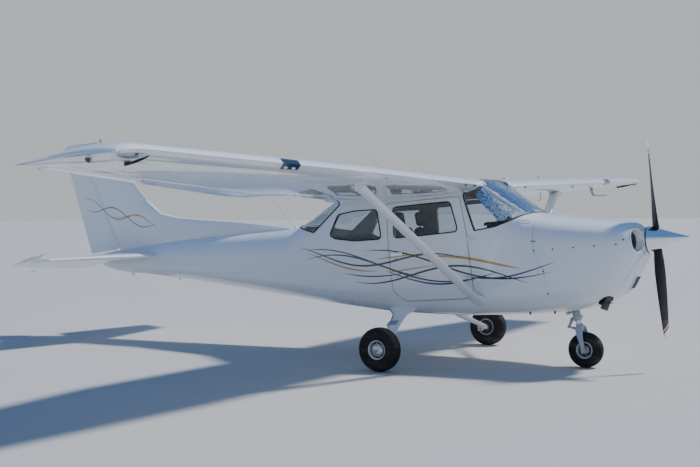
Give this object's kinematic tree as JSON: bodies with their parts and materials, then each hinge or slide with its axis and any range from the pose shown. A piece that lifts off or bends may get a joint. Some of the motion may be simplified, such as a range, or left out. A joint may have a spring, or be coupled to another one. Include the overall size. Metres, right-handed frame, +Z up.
{
  "type": "light high-wing aircraft",
  "caption": "High-wing single-engine light aircraft with braced wings, fixed nosewheel gear, opening cabin doors and moving control surfaces.",
  "frame": {"origin": "centre of the bounding box at floor level, under the cabin", "axes": "+X towards the nose, +Y to port along the wings, +Z up; the airframe stands 4.5 degrees nose up"},
  "size_m": [8.2768, 10.998, 2.5347],
  "materials": {
    "airframe_paint": "gloss",
    "surface_paint": "gloss",
    "engine_iron": "satin",
    "bare_steel": "satin",
    "window_glass": "gloss",
    "panel_plastic": "matte",
    "seat_cloth": "matte",
    "gear_steel": "gloss",
    "tyre_rubber": "matte",
    "rim_metal": "satin",
    "propeller_black": "satin",
    "polished_metal": "polished",
    "antenna_black": "satin",
    "red_lens": "gloss"
  },
  "bodies": {
    "airframe": {"cowl_upper": "airframe_paint", "cowl_lower": "airframe_paint", "engine_block": "engine_iron", "exhaust_pipe": "bare_steel", "cabin_shell": "airframe_paint", "windshield": "window_glass", "rear_window": "window_glass", "side_window_left": "window_glass", "side_window_right": "window_glass", "instrument_panel": "panel_plastic", "seat_front_left": "seat_cloth", "seat_front_right": "seat_cloth", "seat_rear": "seat_cloth", "tailcone": "airframe_paint", "fin": "surface_paint", "stabilizer_left": "surface_paint", "stabilizer_right": "surface_paint", "wing_left": "surface_paint", "wing_tip_left": "surface_paint", "wing_right": "surface_paint", "wing_tip_right": "surface_paint", "strut_left": "airframe_paint", "strut_right": "airframe_paint", "gear_leg_left": "gear_steel", "gear_leg_right": "gear_steel", "nose_gear_tube": "gear_steel", "antenna_left": "antenna_black", "antenna_right": "antenna_black", "antenna_tail": "antenna_black", "beacon": "red_lens"},
    "propeller": {"propeller": "propeller_black", "spinner": "polished_metal"},
    "wheel_main_left": {"tyre_main_left": "tyre_rubber", "rim_main_left": "rim_metal"},
    "wheel_main_right": {"tyre_main_right": "tyre_rubber", "rim_main_right": "rim_metal"},
    "nose_fork": {"nose_fork": "gear_steel"},
    "wheel_nose": {"tyre_nose": "tyre_rubber", "rim_nose": "rim_metal"},
    "door_left": {"door_left": "airframe_paint", "door_window_left": "window_glass"},
    "door_right": {"door_right": "airframe_paint", "door_window_right": "window_glass"},
    "baggage_door": {"baggage_door": "airframe_paint"},
    "aileron_left": {"aileron_left": "surface_paint"},
    "aileron_right": {"aileron_right": "surface_paint"},
    "flap_left": {"flap_left": "surface_paint"},
    "flap_right": {"flap_right": "surface_paint"},
    "elevator": {"elevator_left": "surface_paint", "elevator_right": "surface_paint"},
    "rudder": {"rudder": "surface_paint"}
  },
  "joints": [
    {"name": "propeller_spin", "type": "hinge", "parent": "airframe", "child": "propeller", "pos_m": [3.82235, 0, 1.29494], "axis": [0.9969, 0, 0.0785], "continuous": true},
    {"name": "wheel_main_left_spin", "type": "hinge", "parent": "airframe", "child": "wheel_main_left", "pos_m": [1.45138, 1.275, 0.21782], "axis": [0, 1, 0], "continuous": true},
    {"name": "wheel_main_right_spin", "type": "hinge", "parent": "airframe", "child": "wheel_main_right", "pos_m": [1.45138, -1.275, 0.21782], "axis": [0, 1, 0], "continuous": true},
    {"name": "nose_steer", "type": "hinge", "parent": "airframe", "child": "nose_fork", "pos_m": [3.10638, 0, 0.17782], "axis": [-0.2667, 0, 0.9638], "range_deg": [-10, 10]},
    {"name": "wheel_nose_spin", "type": "hinge", "parent": "nose_fork", "child": "wheel_nose", "pos_m": [3.10638, 0, 0.17782], "axis": [0, 1, 0], "continuous": true},
    {"name": "door_left_swing", "type": "hinge", "parent": "airframe", "child": "door_left", "pos_m": [2.07077, 0.547, 1.15709], "axis": [0.0785, 0, -0.9969], "range_deg": [0, 75]},
    {"name": "door_right_swing", "type": "hinge", "parent": "airframe", "child": "door_right", "pos_m": [2.07077, -0.547, 1.15709], "axis": [-0.0785, 0, 0.9969], "range_deg": [0, 75]},
    {"name": "baggage_door_swing", "type": "hinge", "parent": "airframe", "child": "baggage_door", "pos_m": [0.82662, 0.523, 1.05917], "axis": [0.0785, 0, -0.9969], "range_deg": [0, 75]},
    {"name": "aileron_left_hinge", "type": "hinge", "parent": "airframe", "child": "aileron_left", "pos_m": [0.83035, 2.48, 1.77653], "axis": [-0.1481, -0.9875, -0.0548], "range_deg": [-20, 15]},
    {"name": "aileron_right_hinge", "type": "hinge", "parent": "airframe", "child": "aileron_right", "pos_m": [0.83035, -2.48, 1.77653], "axis": [0.1481, -0.9875, 0.0548], "range_deg": [-15, 20]},
    {"name": "flap_left_hinge", "type": "hinge", "parent": "airframe", "child": "flap_left", "pos_m": [0.99152, 0.546, 1.58941], "axis": [0.016, -0.9995, -0.0286], "range_deg": [0, 30]},
    {"name": "flap_right_hinge", "type": "hinge", "parent": "airframe", "child": "flap_right", "pos_m": [0.99152, -0.546, 1.58941], "axis": [-0.016, -0.9995, 0.0286], "range_deg": [0, 30]},
    {"name": "elevator_hinge", "type": "hinge", "parent": "airframe", "child": "elevator", "pos_m": [-3.05001, 0, 1.01689], "axis": [0, -1, 0], "range_deg": [-46.5, 4.5]},
    {"name": "rudder_hinge", "type": "hinge", "parent": "airframe", "child": "rudder", "pos_m": [-3.14039, 0, 1.12011], "axis": [-0.4636, 0, 0.886], "range_deg": [-16, 16]}
  ],
  "couplings": [
    {"joint": "aileron_right_hinge", "follows": "aileron_left_hinge", "ratio": -1},
    {"joint": "flap_right_hinge", "follows": "flap_left_hinge", "ratio": 1}
  ]
}
